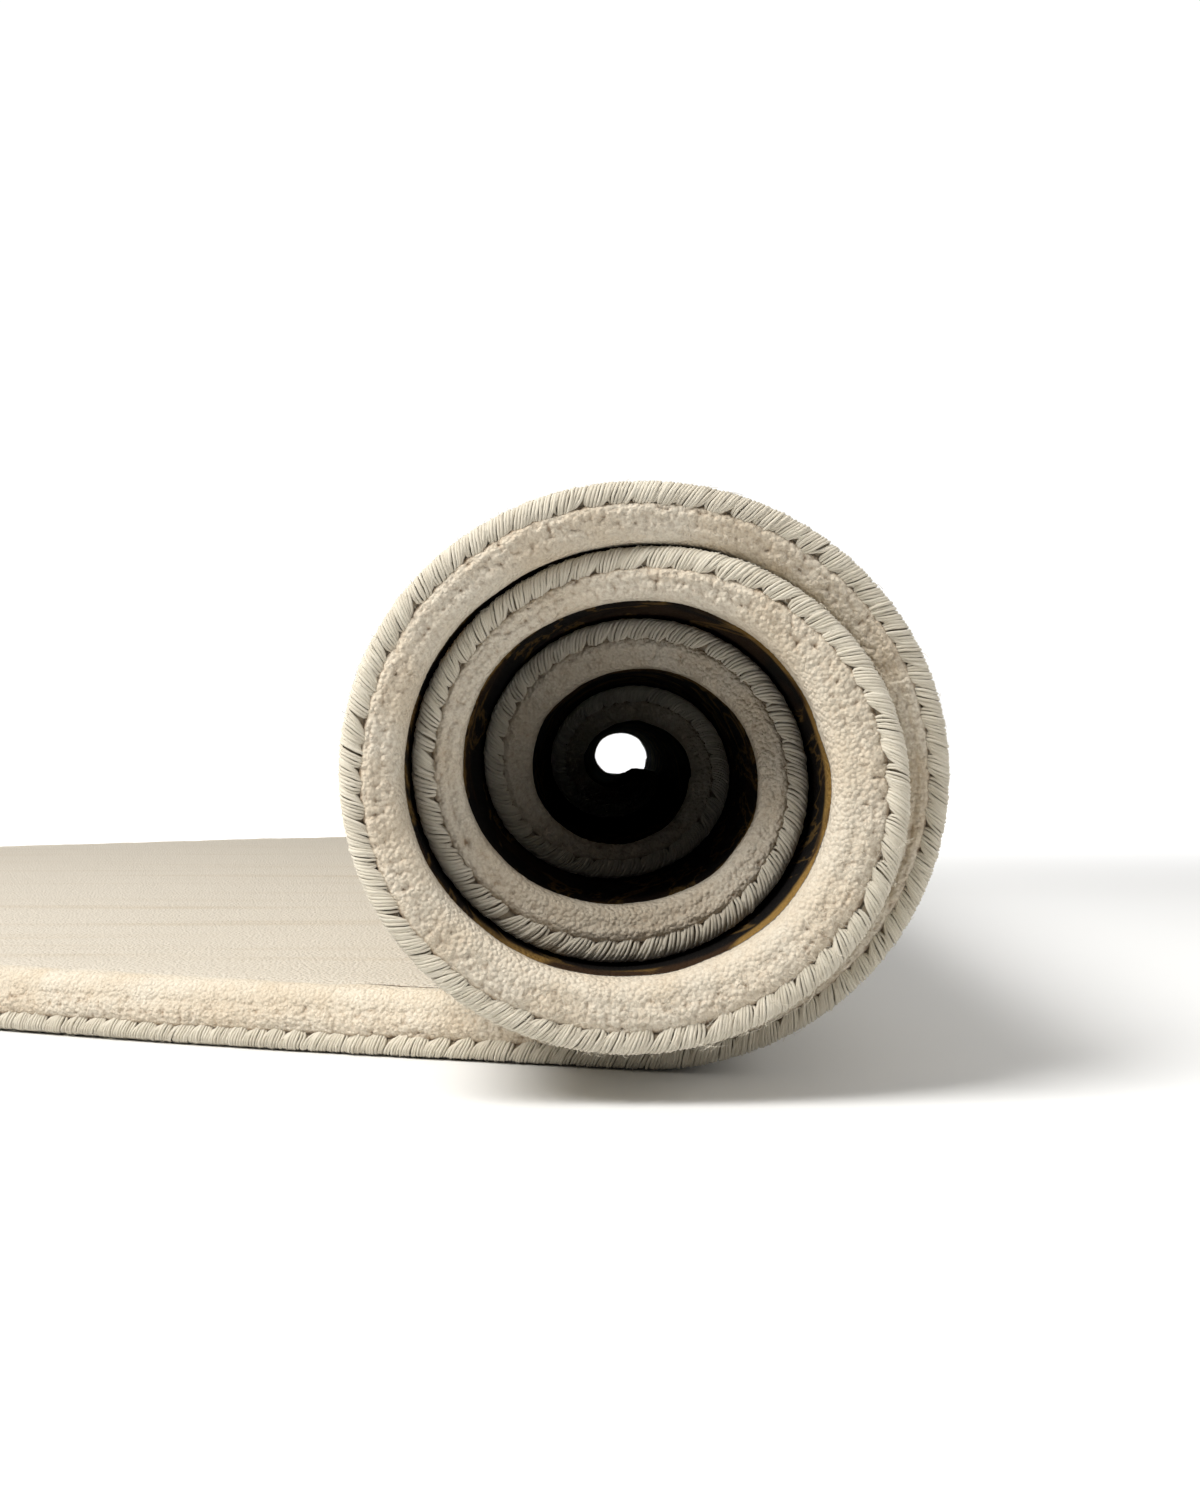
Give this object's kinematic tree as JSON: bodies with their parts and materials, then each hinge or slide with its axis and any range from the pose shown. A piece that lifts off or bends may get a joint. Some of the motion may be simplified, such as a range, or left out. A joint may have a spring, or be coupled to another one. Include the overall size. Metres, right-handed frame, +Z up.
{
  "type": "partly rolled rug",
  "caption": "Thick tufted rug with a pebble-shaped outline and a whipped edge, rolled up pile side in, its free end lying flat on the floor.",
  "frame": {"origin": "middle of the object's bounding box, on the floor", "axes": "+Z up, Y along the roll's axis and the rug's width, -X towards the free end that lies flat"},
  "size_m": [0.659, 1.0582, 0.1493],
  "materials": {
    "rug_pile": "matt cut wool pile, beige",
    "binding_yarn": "matt overcast wool yarn, greyish cream"
  },
  "bodies": {
    "root": {"rug": "rug_pile", "binding": "binding_yarn"}
  },
  "joints": []
}
